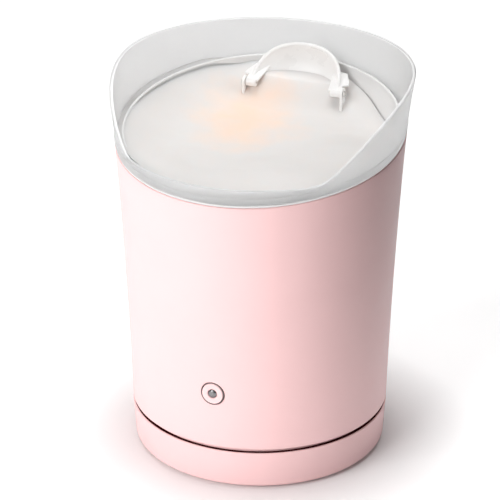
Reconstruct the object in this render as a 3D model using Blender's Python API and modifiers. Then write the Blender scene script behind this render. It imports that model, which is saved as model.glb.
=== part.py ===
"""Paraffin wax bath: a tall pink drum with a slanted frosted splash collar.

Metres, +Z up. The origin is the centre of the base on the resting plane and the
front, where the power button and the low lip of the collar are, faces -Y.
Angles around the drum are measured from the front, positive towards +X.
"""

import math

import bmesh
import bpy
from mathutils import Matrix, Vector

# Driving dimensions
BODY_R = 0.084            # drum radius at the shadow gap
WALL = 0.0025             # casing wall
GAP = 0.0003              # clearance between pieces that touch
FLARE_LINEAR = 0.0237     # the drum widens upwards: linear and square terms
FLARE_SQUARE = 0.0099
LIP_FLARE = 0.075         # extra flare of the collar near its rim
LIP_FLARE_FROM = 2.45     # where it starts, in drum radii above the floor

FOOT_PROUD = 0.0015       # how far the feet stand out of the base
BASE_TOP_Z = 0.0268       # underside of the shadow gap
CASING_Z = 0.0294         # bottom edge of the casing
SPIGOT_Z = 0.036          # top of the base's spigot
SEAM_Z = 0.2125           # seam between casing and collar, at mid depth
SEAM_TILT = math.radians(8.5)
SEAM_R = 0.0922
RIM_FRONT_Z = 0.2108      # low lip of the collar
RIM_REAR_Z = 0.2555       # high back of the collar
RIM_RISE_FROM = math.radians(42)
RIM_RISE_OVER = math.radians(29)
RIM_RISE_POWER = 1.55
COLLAR_WALL = 0.0026

TANK_R = 0.0755           # inside of the tank
TANK_FLOOR_Z = 0.092
TANK_RIM_Z = 0.186        # underside of the tank's flange
TANK_WALL = 0.0012
FLANGE_R = 0.0828
LEDGE_Z = 0.1846          # top of the ledge that the tank hangs on

BUTTON_Z = 0.0676
BUTTON_R = 0.0070
INLET_Z = 0.050

HINGE_Y = 0.062           # hinge line of the grip hood
HINGE_Z = 0.2205
HOOD_W = 0.0295           # half width of the hood
HOOD_H = 0.032
HOOD_LEAN = math.radians(48)
WING_TILT = math.radians(15)
UPRIGHT_X = 0.0338
RIVET_X = 0.0295

SCREW_R = 0.070           # circle of the four case screws
SHIELD_Z = 0.079
BOARD_Z = 0.0158
BOARD_HOLES = [(-0.038, -0.024), (0.038, 0.024)]

SIDES_BIG = 40            # sides of the drum's turned and lofted shells
SIDES_MID = 36
SIDES_SMALL = 8


# Scene and materials

def clear_scene():
    for item in list(bpy.data.objects):
        bpy.data.objects.remove(item, do_unlink=True)


def new_collection(name):
    collection = bpy.data.collections.new(name)
    bpy.context.scene.collection.children.link(collection)
    return collection


def material(name, colour, roughness, metallic=0.0):
    made = bpy.data.materials.new(name)
    made.use_nodes = True
    shader = made.node_tree.nodes["Principled BSDF"]
    shader.inputs["Base Color"].default_value = (*colour, 1.0)
    shader.inputs["Roughness"].default_value = roughness
    shader.inputs["Metallic"].default_value = metallic
    return made


def place(name, data, finish, collection=None):
    """Put a mesh or curve in the scene as a named part."""
    part = bpy.data.objects.new(name, data)
    (collection or PARTS).objects.link(part)
    if finish:
        data.materials.append(finish)
    if isinstance(data, bpy.types.Mesh):
        data.shade_smooth()
        data.set_sharp_from_angle(angle=math.radians(35))
    return part


def tool(data, name="tool"):
    """A shape that only cuts or joins another part."""
    helper = place(name, data, None, TOOLS)
    helper.hide_render = True
    helper.display_type = "WIRE"
    return helper


# Shapes

def mesh_from(name, build):
    data = bpy.data.meshes.new(name)
    mesh = bmesh.new()
    build(mesh)
    bmesh.ops.recalc_face_normals(mesh, faces=mesh.faces)
    mesh.to_mesh(data)
    mesh.free()
    return data


AXIS_TURN = {
    "X": Matrix.Rotation(math.radians(90), 4, "Y"),
    "Y": Matrix.Rotation(math.radians(-90), 4, "X"),
    "Z": Matrix.Identity(4),
}


def rods(name, places, radius, length, axis="Z", sides=SIDES_SMALL, taper=1.0):
    """Cylinders centred on the given places, along one axis, in one mesh."""
    def build(mesh):
        for spot in places:
            bmesh.ops.create_cone(
                mesh, cap_ends=True, segments=sides, radius1=radius,
                radius2=radius * taper, depth=length,
                matrix=Matrix.Translation(spot) @ AXIS_TURN[axis])
    return mesh_from(name, build)


def blocks(name, boxes):
    """Boxes in one mesh, each given by its centre and its three sides."""
    def build(mesh):
        for centre, sides in boxes:
            matrix = Matrix.Translation(centre) @ Matrix.Diagonal((*sides, 1.0))
            bmesh.ops.create_cube(mesh, size=1.0, matrix=matrix)
    return mesh_from(name, build)


def chamfer(part, width, segments=1):
    bevel = part.modifiers.new("edges", "BEVEL")
    bevel.width = width
    bevel.segments = segments
    bevel.limit_method = "ANGLE"
    return part


def turned(name, profile, finish, sides=SIDES_MID, collection=None):
    """Turn a profile of (radius, height) points, outer side first and downwards."""
    data = bpy.data.meshes.new(name)
    points = [(radius, 0.0, height) for radius, height in profile]
    edges = [(i, i + 1) for i in range(len(points) - 1)]
    if min(radius for radius, height in profile) > 0:
        edges.append((len(points) - 1, 0))
    data.from_pydata(points, edges, [])
    part = bpy.data.objects.new(name, data)
    (collection or PARTS).objects.link(part)
    if finish:
        data.materials.append(finish)
    screw = part.modifiers.new("turn", "SCREW")
    screw.axis = "Z"
    screw.steps = sides
    screw.render_steps = sides
    screw.use_merge_vertices = True
    screw.merge_threshold = 0.00001
    screw.use_smooth_shade = True
    return part


def evaluated(part):
    """The part's mesh with its modifiers applied, in its own space."""
    bpy.context.view_layer.update()
    graph = bpy.context.evaluated_depsgraph_get()
    return bpy.data.meshes.new_from_object(part.evaluated_get(graph))


def repeated(part, spots):
    """Replace a part by copies of it at the given matrices, each its own object."""
    shared = evaluated(part)
    name = part.name
    bpy.data.objects.remove(part, do_unlink=True)
    for number, spot in enumerate(spots, start=1):
        copy = bpy.data.objects.new(f"{name}_{number}" if len(spots) > 1 else name, shared)
        PARTS.objects.link(copy)
        copy.matrix_world = spot


def lofted_ring(name, section, sides=SIDES_BIG):
    """Closed ring whose (radius, height) section changes with the angle."""
    def build(mesh):
        loops = []
        for step in range(sides):
            angle = 2 * math.pi * step / sides
            loops.append([mesh.verts.new(around(angle, *point))
                          for point in section(angle)])
        count = len(loops[0])
        for step in range(sides):
            here, there = loops[step], loops[(step + 1) % sides]
            for i in range(count):
                j = (i + 1) % count
                mesh.faces.new((here[i], here[j], there[j], there[i]))
    return mesh_from(name, build)


def wire(name, route, radius, finish, resolution=1):
    """Round wire through the given points."""
    data = bpy.data.curves.new(name, "CURVE")
    data.dimensions = "3D"
    data.bevel_depth = radius
    data.bevel_resolution = resolution
    data.use_fill_caps = True
    spline = data.splines.new("POLY")
    spline.points.add(len(route) - 1)
    for point, spot in zip(spline.points, route):
        point.co = (*spot, 1.0)
    return place(name, data, finish)


def smooth_route(points, per_span=4):
    """Points along a Catmull-Rom curve through the given ones."""
    knots = [Vector(point) for point in points]
    knots = [2 * knots[0] - knots[1]] + knots + [2 * knots[-1] - knots[-2]]
    route = []
    for i in range(1, len(knots) - 2):
        a, b, c, d = knots[i - 1:i + 3]
        for step in range(per_span):
            t = step / per_span
            route.append(0.5 * (2 * b + (c - a) * t + (2 * a - 5 * b + 4 * c - d) * t ** 2
                                + (3 * b - a - 3 * c + d) * t ** 3))
    route.append(knots[-2])
    return route


def plate(name, outlines, thickness, finish):
    """Flat plate from closed 2D outlines: the first is its edge, the rest holes."""
    data = bpy.data.curves.new(name, "CURVE")
    data.dimensions = "2D"
    data.fill_mode = "BOTH"
    data.extrude = thickness / 2
    for outline in outlines:
        spline = data.splines.new("POLY")
        spline.points.add(len(outline) - 1)
        for point, spot in zip(spline.points, outline):
            point.co = (*spot, 0.0, 1.0)
        spline.use_cyclic_u = True
    part = place(name, data, finish)
    return part


def as_mesh(part):
    """Replace a curve part by a welded mesh part, so that it can be cut."""
    data = evaluated(part)
    name = part.name
    matrix = part.matrix_world.copy()
    mesh = bmesh.new()
    mesh.from_mesh(data)
    bmesh.ops.remove_doubles(mesh, verts=mesh.verts, dist=0.00001)
    bmesh.ops.recalc_face_normals(mesh, faces=mesh.faces)
    mesh.to_mesh(data)
    mesh.free()
    bpy.data.objects.remove(part, do_unlink=True)
    solid = bpy.data.objects.new(name, data)
    PARTS.objects.link(solid)
    solid.matrix_world = matrix
    return solid


def boolean(part, helper, operation):
    step = part.modifiers.new(operation.lower(), "BOOLEAN")
    step.operation = operation
    step.solver = "EXACT"
    step.object = helper
    return part


def cut(part, data):
    return boolean(part, tool(data, "cut_" + part.name), "DIFFERENCE")


def add(part, data):
    return boolean(part, tool(data, "add_" + part.name), "UNION")


# The drum's outline

def around(angle, radius, height):
    return (radius * math.sin(angle), -radius * math.cos(angle), height)


def outer_r(z):
    t = z / BODY_R - 0.33
    lip = max(0.0, z / BODY_R - LIP_FLARE_FROM)
    return BODY_R * (1 + FLARE_LINEAR * t + FLARE_SQUARE * t * t + LIP_FLARE * lip * lip)


def seam_z(angle):
    return SEAM_Z - math.tan(SEAM_TILT) * SEAM_R * math.cos(angle)


def rim_z(angle):
    turn = abs((angle + math.pi) % (2 * math.pi) - math.pi)
    past = max(0.0, turn - RIM_RISE_FROM) / RIM_RISE_OVER
    return RIM_FRONT_Z + (RIM_REAR_Z - RIM_FRONT_Z) * (1 - math.exp(-past ** RIM_RISE_POWER))


def wall_points(low, high, inset, steps):
    """Points up the drum's wall from one height to another, inside its skin."""
    heights = [low + (high - low) * i / steps for i in range(steps + 1)]
    return [(outer_r(z) - inset, z) for z in heights]


def corners(radius, angles, height):
    return [around(math.radians(angle), radius, height) for angle in angles]


DIAGONALS = (45, 135, 225, 315)
QUARTERS = (0, 90, 180, 270)
THIRDS = (60, 180, 300)


# Outer shells

def outer_casing():
    edge = 0.0007

    def section(angle):
        top = seam_z(angle)
        outside = wall_points(CASING_Z + edge, top - edge, 0.0, 5)
        inside = wall_points(CASING_Z, top, WALL, 3)
        bottom = (outer_r(CASING_Z) - edge, CASING_Z)
        shoulder = (outer_r(top) - edge, top)
        return [bottom] + outside + [shoulder] + inside[::-1]
    casing = place("outer_casing", lofted_ring("outer_casing", section), PINK)
    boss_low, boss_high = SPIGOT_Z - 0.0065, 0.044
    middle = (boss_low + boss_high) / 2
    add(casing, rods("bosses", corners(SCREW_R, DIAGONALS, middle), 0.0042,
                     boss_high - boss_low))

    def ribs(mesh):
        for angle in DIAGONALS:
            spot = Matrix.Rotation(math.radians(angle), 4, "Z") @ Matrix.Translation(
                (0, -0.0770, 0.0407))
            bmesh.ops.create_cube(
                mesh, size=1.0, matrix=spot @ Matrix.Diagonal((0.003, 0.0118, 0.0064, 1.0)))
    add(casing, mesh_from("ribs", ribs))
    add(casing, rods("switch_bosses", [(x, -0.0786, BUTTON_Z) for x in (-0.0145, 0.0145)],
                     0.0030, 0.0072, "Y"))
    cut(casing, rods("pilots", corners(SCREW_R, DIAGONALS, 0.034), 0.0017, 0.0160))
    cut(casing, rods("switch_pilots", [(x, -0.0770, BUTTON_Z) for x in (-0.0145, 0.0145)],
                     0.0011, 0.0070, "Y"))
    cut(casing, rods("button_hole", [(0, -0.084, BUTTON_Z)], 0.0080, 0.014, "Y", 32))
    cut(casing, blocks("inlet_hole", [((0, 0.084, INLET_Z), (0.0216, 0.014, 0.0136))]))


def base_housing():
    top_r = outer_r(BASE_TOP_Z)
    spigot_r = outer_r(CASING_Z) - WALL - 0.0006
    low = FOOT_PROUD
    profile = [
        (0.0, low + 0.003), (0.0782, low + 0.003), (0.0788, SPIGOT_Z),
        (spigot_r - 0.0006, SPIGOT_Z), (spigot_r, SPIGOT_Z - 0.0006), (spigot_r, BASE_TOP_Z),
        (top_r - 0.0006, BASE_TOP_Z), (top_r, BASE_TOP_Z - 0.0006), (0.0829, 0.009),
        (0.0824, low + 0.0022), (0.0818, low + 0.0007), (0.0803, low), (0.0, low),
    ]
    base = turned("base_housing", profile, PINK, SIDES_BIG)
    column_low, column_high = 0.004, SPIGOT_Z - 0.0068
    add(base, rods("columns", corners(SCREW_R, DIAGONALS, (column_low + column_high) / 2),
                   0.0052, column_high - column_low, sides=12))
    add(base, rods("board_posts", [(x, y, 0.0097) for x, y in BOARD_HOLES], 0.003, 0.0116))
    cut(base, rods("counterbores", corners(SCREW_R, DIAGONALS, 0.0110), 0.0036, 0.0240,
                   sides=12))
    cut(base, rods("clearance_holes", corners(SCREW_R, DIAGONALS, 0.0260), 0.0018, 0.0100))
    cut(base, rods("post_pilots", [(x, y, 0.0120) for x, y in BOARD_HOLES], 0.0012, 0.0100))
    cut(base, rods("foot_recesses", corners(0.064, QUARTERS, 0.0015), 0.0075, 0.0030,
                   sides=16))


def rubber_feet():
    height = 0.0027
    profile = [(0.0, height), (0.0064, height), (0.0070, height - 0.0005), (0.0070, 0.0006),
               (0.0064, 0.0), (0.0, 0.0)]
    foot = turned("rubber_foot", profile, RUBBER, 16)
    repeated(foot, [Matrix.Translation(spot) for spot in corners(0.064, QUARTERS, 0.0)])


def pan_screw(name, head_r, head_h, shank_r, length, spots, sides=SIDES_SMALL):
    """Pan-head screws, heads towards local -Z, seats at local height 0."""
    profile = [(0.0, length), (shank_r * 0.7, length), (shank_r, length - shank_r),
               (shank_r, 0.0), (head_r, 0.0), (head_r, -head_h * 0.5),
               (head_r * 0.7, -head_h), (0.0, -head_h)]
    screw = turned(name, profile, STEEL, sides)
    repeated(screw, spots)


def case_screws():
    seat = 0.0210 + 0.0020 - GAP
    pan_screw("case_screw", 0.0031, 0.0022, 0.00135, 0.018,
              [Matrix.Translation(spot) for spot in corners(SCREW_R, DIAGONALS, seat)])


# Upper ring, tank and its heating

def tank_surround():
    skin = 0.0030          # clearance wall, inside the casing
    throat = 0.0060        # inner wall
    rib = 0.0042           # outside of the upstanding rib

    def section(angle):
        seat = seam_z(angle) + GAP
        r_top = outer_r(seat)
        ledge_low = LEDGE_Z - 0.002
        outside = wall_points(ledge_low, seat, skin, 3)
        flange = [(r_top - 0.0005, seat), (r_top - 0.0005, seat + 0.0012),
                  (r_top - rib, seat + 0.0012)]
        crest = [(r_top - rib, seat + 0.0070), (r_top - throat, seat + 0.0070)]
        inside = wall_points(LEDGE_Z, seat + 0.002, throat, 3)[::-1]
        ledge = [(0.0773, LEDGE_Z), (0.0773, ledge_low)]
        return outside + flange + crest + inside + ledge
    ring = place("tank_surround", lofted_ring("tank_surround", section), WHITE)
    cut(ring, rods("holes", corners(0.0803, THIRDS, LEDGE_Z), 0.0013, 0.008))


def collar_seal():
    def section(angle):
        low = seam_z(angle) + 0.0030
        radius = outer_r(seam_z(angle)) - 0.0038
        return [(radius, low), (radius + 0.0007, low + 0.0001), (radius + 0.0009, low + 0.0012),
                (radius + 0.0007, low + 0.0023), (radius, low + 0.0024)]
    place("collar_seal", lofted_ring("collar_seal", section), SILICONE)


def splash_collar():
    def section(angle):
        low = seam_z(angle) + 0.0018
        high = rim_z(angle)
        crown = 0.0008
        outside = wall_points(low + 0.0004, high - crown, 0.0, 5)
        r_top = outer_r(high)
        top = [(r_top - 0.0006, high), (r_top - COLLAR_WALL + 0.0006, high)]
        inside = wall_points(low, high - crown, COLLAR_WALL, 4)[::-1]
        return [(outer_r(low) - 0.0005, low)] + outside + top + inside
    place("splash_collar", lofted_ring("splash_collar", section), FROSTED)


def wax_tank():
    outer = TANK_R + TANK_WALL
    under = TANK_FLOOR_Z - TANK_WALL
    corner = 0.008
    inner = corner - TANK_WALL
    turn = [math.radians(angle) for angle in (0, 45, 90)]
    profile = [(0.0, TANK_FLOOR_Z)]
    profile += [(TANK_R - inner + inner * math.cos(a), TANK_FLOOR_Z + inner - inner * math.sin(a))
                for a in reversed(turn)]
    profile += [(TANK_R, TANK_RIM_Z), (TANK_R + 0.0012, TANK_RIM_Z + TANK_WALL),
                (FLANGE_R, TANK_RIM_Z + TANK_WALL), (FLANGE_R, TANK_RIM_Z), (outer, TANK_RIM_Z)]
    profile += [(outer - corner + corner * math.cos(a), under + corner - corner * math.sin(a))
                for a in turn]
    profile += [(0.0, under)]
    tank = turned("wax_tank", profile, ALUMINIUM, 40)
    cut(tank, rods("holes", corners(0.0803, THIRDS, TANK_RIM_Z), 0.0013, 0.006))


def tank_seal():
    low, high = LEDGE_Z + GAP, TANK_RIM_Z - GAP
    ring = turned("tank_seal", [(0.0825, high), (0.0825, low), (0.0776, low), (0.0776, high)],
                  SILICONE, 40)
    cut(ring, rods("holes", corners(0.0803, THIRDS, LEDGE_Z), 0.0013, 0.006))


def flange_screws():
    seat = TANK_RIM_Z + TANK_WALL + GAP
    turn = Matrix.Rotation(math.pi, 4, "X")
    pan_screw("flange_screw", 0.0023, 0.0014, 0.0010, 0.0065,
              [Matrix.Translation(spot) @ turn for spot in corners(0.0803, THIRDS, seat)])


def arc_band(radius, width, gap_angle, steps):
    """Outline of a C-shaped band, open at the rear."""
    half = math.radians(gap_angle) / 2
    sweep = [math.pi / 2 + half + (2 * math.pi - 2 * half) * i / steps for i in range(steps + 1)]
    outside = [((radius + width) * math.cos(a), (radius + width) * math.sin(a)) for a in sweep]
    inside = [(radius * math.cos(a), radius * math.sin(a)) for a in reversed(sweep)]
    return outside + inside


def band_heater():
    low, high = 0.100, 0.140
    band = plate("band_heater", [arc_band(0.0772, 0.0015, 9, 48)], high - low, MICA)
    band.location.z = (low + high) / 2
    band = as_mesh(band)
    lugs = [((side * 0.0068, 0.0806, 0.120), (0.0012, 0.0058, 0.020)) for side in (-1, 1)]
    add(band, blocks("lugs", lugs))
    cut(band, rods("lug_holes", [(0, 0.0814, 0.120)], 0.0013, 0.030, "X"))


def clamp_bolt():
    turn = Matrix.Translation((-0.0077, 0.0814, 0.120)) @ Matrix.Rotation(math.pi / 2, 4, "Y")
    pan_screw("clamp_bolt", 0.0017, 0.0014, 0.0010, 0.0180, [turn], 12)
    nut = rods("clamp_nut", [(0.0087, 0.0814, 0.120)], 0.0020, 0.0016, "X", 6)
    nut = place("clamp_nut", nut, STEEL)
    cut(nut, rods("thread", [(0.0087, 0.0814, 0.120)], 0.0013, 0.004, "X", 12))


def insulation_sleeve():
    low, high = 0.096, 0.176
    sleeve = plate("insulation_sleeve", [arc_band(0.0793, 0.0028, 32, 44)], high - low, FELT)
    sleeve.location.z = (low + high) / 2
    as_mesh(sleeve)


def heat_shield():
    z, sheet = SHIELD_Z, 0.0008
    profile = [(0.0, z + sheet), (0.0724, z + sheet), (0.0732, z + 0.0016), (0.0732, z + 0.005),
               (0.0740, z + 0.005), (0.0740, z + 0.0012), (0.0728, z), (0.0, z)]
    shield = turned("heat_shield", profile, ALUMINIUM)
    top = TANK_FLOOR_Z - TANK_WALL - GAP
    low = z + 0.0004
    add(shield, rods("standoffs", corners(0.050, THIRDS, (low + top) / 2), 0.0034, top - low))
    cut(shield, rods("bolt_holes", corners(0.050, THIRDS, z), 0.0018, 0.030))
    cut(shield, rods("lead_hole", [(-0.024, 0.006, z)], 0.0045, 0.004, sides=20))
    pan_screw("shield_screw", 0.0030, 0.0018, 0.0014, top - z + GAP,
              [Matrix.Translation(spot) for spot in corners(0.050, THIRDS, z - GAP)])


def thermostat():
    top = TANK_FLOOR_Z - TANK_WALL - GAP
    profile = [(0.0, top), (0.0074, top), (0.0078, top - 0.0004), (0.0078, top - 0.0036),
               (0.0070, top - 0.0038), (0.0070, top - 0.0080), (0.0, top - 0.0080)]
    body = turned("thermostat", profile, BLACK, 24)
    tabs = [((side * 0.0085, 0, top - 0.0070), (0.0060, 0.0032, 0.0008)) for side in (-1, 1)]
    add(body, blocks("tabs", tabs))


def thermal_fuse():
    z = TANK_FLOOR_Z - TANK_WALL - GAP - 0.0020
    fuse = place("thermal_fuse", rods("thermal_fuse", [(0.028, -0.004, z)], 0.0018, 0.011, "Y"),
                 STEEL)
    add(fuse, rods("pigtails", [(0.028, -0.004, z)], 0.0005, 0.022, "Y", 8))
    low = z - 0.0034
    clip = [((0.028, -0.004, low + 0.0004), (0.0066, 0.0050, 0.0008)),
            ((0.0309, -0.004, z - 0.0006), (0.0008, 0.0050, 0.0048)),
            ((0.0251, -0.004, z - 0.0006), (0.0008, 0.0050, 0.0048))]
    strap = place("fuse_clip", blocks("fuse_clip", clip[:1]), STEEL)
    add(strap, blocks("legs", clip[1:]))


# Electronics in the base

def control_board():
    board = place("control_board", blocks("control_board", [
        ((0, 0, BOARD_Z + 0.0008), (0.084, 0.056, 0.0016))]), BOARD)
    chamfer(board, 0.0004)
    cut(board, rods("holes", [(x, y, BOARD_Z) for x, y in BOARD_HOLES], 0.0013, 0.006))
    turn = Matrix.Rotation(math.pi, 4, "X")
    seat = BOARD_Z + 0.0016 + GAP
    pan_screw("board_screw", 0.0024, 0.0016, 0.0009, 0.0075,
              [Matrix.Translation((x, y, seat)) @ turn for x, y in BOARD_HOLES], 12)


def board_components():
    top = BOARD_Z + 0.0016 + GAP
    made = [("relay", (0.020, -0.004), (0.019, 0.015, 0.0155), BLUE),
            ("power_supply", (-0.016, 0.004), (0.030, 0.024, 0.017), BLACK),
            ("lead_terminals", (0.010, 0.0205), (0.028, 0.0085, 0.010), GREEN)]
    for name, (x, y), (a, b, c), finish in made:
        part = place(name, blocks(name, [((x, y, top + c / 2), (a, b, c))]), finish)
        chamfer(part, 0.0006)
    height = 0.016
    can = turned("filter_capacitor", [(0.0, top + height), (0.0046, top + height),
                                      (0.0052, top + height - 0.0006), (0.0052, top), (0.0, top)],
                 BLACK, 20)
    can.location = (-0.004, -0.019, 0.0)


def power_inlet():
    depth, back = 0.022, 0.0848
    body = blocks("power_inlet", [((0, back + 0.0009 - depth / 2, INLET_Z),
                                   (0.0206, depth, 0.0126))])
    inlet = place("power_inlet", body, BLACK)
    flange = blocks("inlet_flange", [((0, back + 0.0010, INLET_Z), (0.0270, 0.0018, 0.0180))])
    add(inlet, flange)
    add(inlet, rods("lugs", [(x, back - depth - 0.0010, INLET_Z) for x in (-0.0044, 0.0044)],
                    0.0014, 0.0060, "Y", 10))
    for x in (-0.0038, 0.0038):
        cut(inlet, rods("socket", [(x, back - 0.0035, INLET_Z)], 0.0046, 0.0130, "Y", 24))
    for name, x in (("left_inlet_pin", -0.0043), ("right_inlet_pin", 0.0043)):
        place(name, rods(name, [(x, back - 0.0049, INLET_Z)], 0.0011, 0.0096, "Y", 12), BRASS)


def wiring():
    """Sheathed twin leads between the inlet, heater, thermostat, switch and board."""
    board_top = BOARD_Z + 0.0016 + GAP
    block_top = board_top + 0.0100 + 2 * GAP

    def lead(name, points, end, radius):
        x, y, z = end
        wire(name, smooth_route(points + [(x, y, z + 0.004), end]), radius, LEAD)
    lead("inlet_lead", [(0.0, 0.0628, INLET_Z), (0.0, 0.054, INLET_Z - 0.001),
                        (0.005, 0.036, 0.041)], (0.010, 0.0205, block_top), 0.0018)
    lead("heater_lead", [(0.0098, 0.0815, 0.112), (0.0150, 0.0800, 0.100),
                         (0.0180, 0.0775, 0.080), (0.0185, 0.066, 0.055),
                         (0.0195, 0.040, 0.040)], (0.0200, 0.0205, block_top), 0.0015)
    lead("sensor_lead", [(-0.0124, 0.0, 0.0835), (-0.0190, 0.003, 0.0829),
                         (-0.0240, 0.006, 0.0775), (-0.0240, 0.008, 0.060),
                         (-0.0120, 0.017, 0.044)], (0.0000, 0.0205, block_top), 0.0011)
    lead("switch_lead", [(0.0, -0.0654, BUTTON_Z - 0.004), (0.002, -0.058, BUTTON_Z - 0.010),
                         (0.012, -0.038, 0.040)], (0.018, -0.0215, board_top + GAP), 0.0010)


# Power button

def face_forward(part, y):
    """Point a turned part's local +Z to the front, with its origin on the button's axis."""
    part.rotation_euler = (math.radians(90), 0, 0)
    part.location = (0, y, BUTTON_Z)
    return part


def power_button():
    face = -0.0856
    cap = [(0.0, -0.0012), (0.0031, -0.0012), (0.0031, 0.0), (0.0066, 0.0), (BUTTON_R, -0.0004),
           (BUTTON_R, -0.0036), (0.0078, -0.0036), (0.0078, -0.0046), (0.0020, -0.0046),
           (0.0020, -0.0128), (0.0, -0.0128)]
    face_forward(turned("button_cap", cap, CAP, 28), face)
    dome = [(0.0, 0.0006), (0.0013, 0.0004), (0.0022, 0.0), (0.0029, -0.0007),
            (0.0029, -0.0009), (0.0, -0.0009)]
    face_forward(turned("button_dome", dome, STEEL, 24), face)
    ring = [(0.00775, 0.0), (0.00775, -0.0032), (0.00725, -0.0032), (0.00725, 0.0)]
    face_forward(turned("button_bezel", ring, DARK, 28), face + 0.0002)
    start, turns, per_turn = face + 0.0046 + 0.0006, 4, 10
    length = 0.0108 - 0.0046 - 2 * 0.0006
    coil = [(0.0034 * math.cos(2 * math.pi * i / per_turn),
             start + length * i / (turns * per_turn),
             BUTTON_Z + 0.0034 * math.sin(2 * math.pi * i / per_turn))
            for i in range(turns * per_turn + 1)]
    wire("button_spring", coil, 0.0003, STEEL)


def switch_parts():
    web = -0.0748
    tube = [(0.0098, 0.0060), (0.0098, -0.0070), (0.0086, -0.0070), (0.0086, -0.0018),
            (0.0026, -0.0018), (0.0026, 0.0), (0.0086, 0.0), (0.0086, 0.0060)]
    housing = face_forward(turned("switch_housing", tube, WHITE, 24), web)
    screws = [(x, web + 0.0010, BUTTON_Z) for x in (-0.0145, 0.0145)]
    ears = [((math.copysign(0.0134, x), y, z), (0.0082, 0.0018, 0.0080)) for x, y, z in screws]
    add(housing, blocks("ears", ears))
    cut(housing, rods("ear_holes", screws, 0.0012, 0.006, "Y"))
    turn = Matrix.Rotation(math.radians(90), 4, "X")
    seat = web + 0.0019 + GAP
    pan_screw("switch_screw", 0.0021, 0.0014, 0.0008, 0.0060,
              [Matrix.Translation((x, seat, z)) @ turn for x, y, z in screws], 12)
    board = [(0.0, 0.0), (0.0096, 0.0), (0.0096, -0.0014), (0.0, -0.0014)]
    face_forward(turned("switch_board", board, BOARD, 28), web + 0.0070 + GAP)
    top = web + 0.0070
    tact = place("tact_switch", blocks("tact_switch", [
        ((0, top - 0.0015, BUTTON_Z), (0.0060, 0.0030, 0.0060))]), BLACK)
    add(tact, rods("plunger", [(0, top - 0.0030, BUTTON_Z)], 0.0016, 0.0010, "Y", 16))


# Hand guard with its folding grip hood

def circle(x, y, radius, sides):
    return [(x + radius * math.cos(2 * math.pi * i / sides),
             y + radius * math.sin(2 * math.pi * i / sides)) for i in range(sides)]


def guard_floor():
    z, sheet = 0.0973, 0.0020
    outlines = [circle(0, 0, 0.0735, 40), circle(0, 0, 0.0070, 10)]
    for count, ring in ((6, 0.0235), (12, 0.0460)):
        for i in range(count):
            angle = 2 * math.pi * (i + 0.5) / count
            outlines.append(circle(ring * math.cos(angle), ring * math.sin(angle), 0.0070, 10))
    grille = plate("guard_grille", outlines, sheet, STAINLESS)
    grille.location.z = z
    grille = as_mesh(grille)
    foot_low = TANK_FLOOR_Z + GAP
    feet = corners(0.0515, (0, 120, 240), (foot_low + z) / 2)
    add(grille, rods("feet", feet, 0.0022, z - foot_low))
    cut(grille, rods("rivet_holes", [(x, HINGE_Y, z) for x in (-RIVET_X, RIVET_X)], 0.0013, 0.004))


def uprights():
    foot_low = 0.0973 + 0.0010 + GAP
    half, eye, sheet = 0.0035, 0.0040, 0.0016
    start = -math.acos(half / eye)
    arc = [start + (math.pi - 2 * start) * i / 10 for i in range(11)]
    outline = [(half, foot_low - HINGE_Z)]
    outline += [(eye * math.cos(a), eye * math.sin(a)) for a in arc]
    outline += [(-half, foot_low - HINGE_Z)]
    for name, side in (("left_upright", -1), ("right_upright", 1)):
        strip = plate(name, [outline, circle(0, 0, 0.0013, 12)], sheet, FROSTED)
        strip.rotation_euler = (math.radians(90), 0, math.radians(90))
        strip.location = (side * UPRIGHT_X, HINGE_Y, HINGE_Z)
        strip = as_mesh(strip)
        foot = ((side * (UPRIGHT_X - 0.0032), HINGE_Y, foot_low + 0.0006), (0.0080, 2 * half, 0.0012))
        add(strip, blocks("foot", [foot]))
        cut(strip, rods("rivet_hole", [(side * RIVET_X, HINGE_Y, foot_low)], 0.0013, 0.006))
    seat = foot_low + 0.0012 + GAP
    turn = Matrix.Rotation(math.pi, 4, "X")
    pan_screw("guard_rivet", 0.0022, 0.0011, 0.0010, 0.0042,
              [Matrix.Translation((x, HINGE_Y, seat)) @ turn for x in (-RIVET_X, RIVET_X)], 12)
    pins = [Matrix.Translation((s * (UPRIGHT_X + sheet / 2 + GAP), HINGE_Y, HINGE_Z))
            @ Matrix.Rotation(-s * math.pi / 2, 4, "Y") for s in (-1, 1)]
    pan_screw("hinge_pin", 0.0021, 0.0010, 0.0010, 0.0094, pins, 12)


def hood_point(turn, back):
    """Point on the hood's skin: turn runs along the arch, back from its rim to its rear."""
    lean = HOOD_LEAN + back * math.radians(34)
    half = HOOD_W - 0.0020 * back
    reach = HOOD_H - 0.0105 * back
    across = math.copysign(abs(math.cos(turn)) ** 0.85, math.cos(turn))
    up = reach * math.sin(turn) ** 0.85
    return Vector((half * across, HINGE_Y + up * math.sin(lean), HINGE_Z + up * math.cos(lean)))


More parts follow.
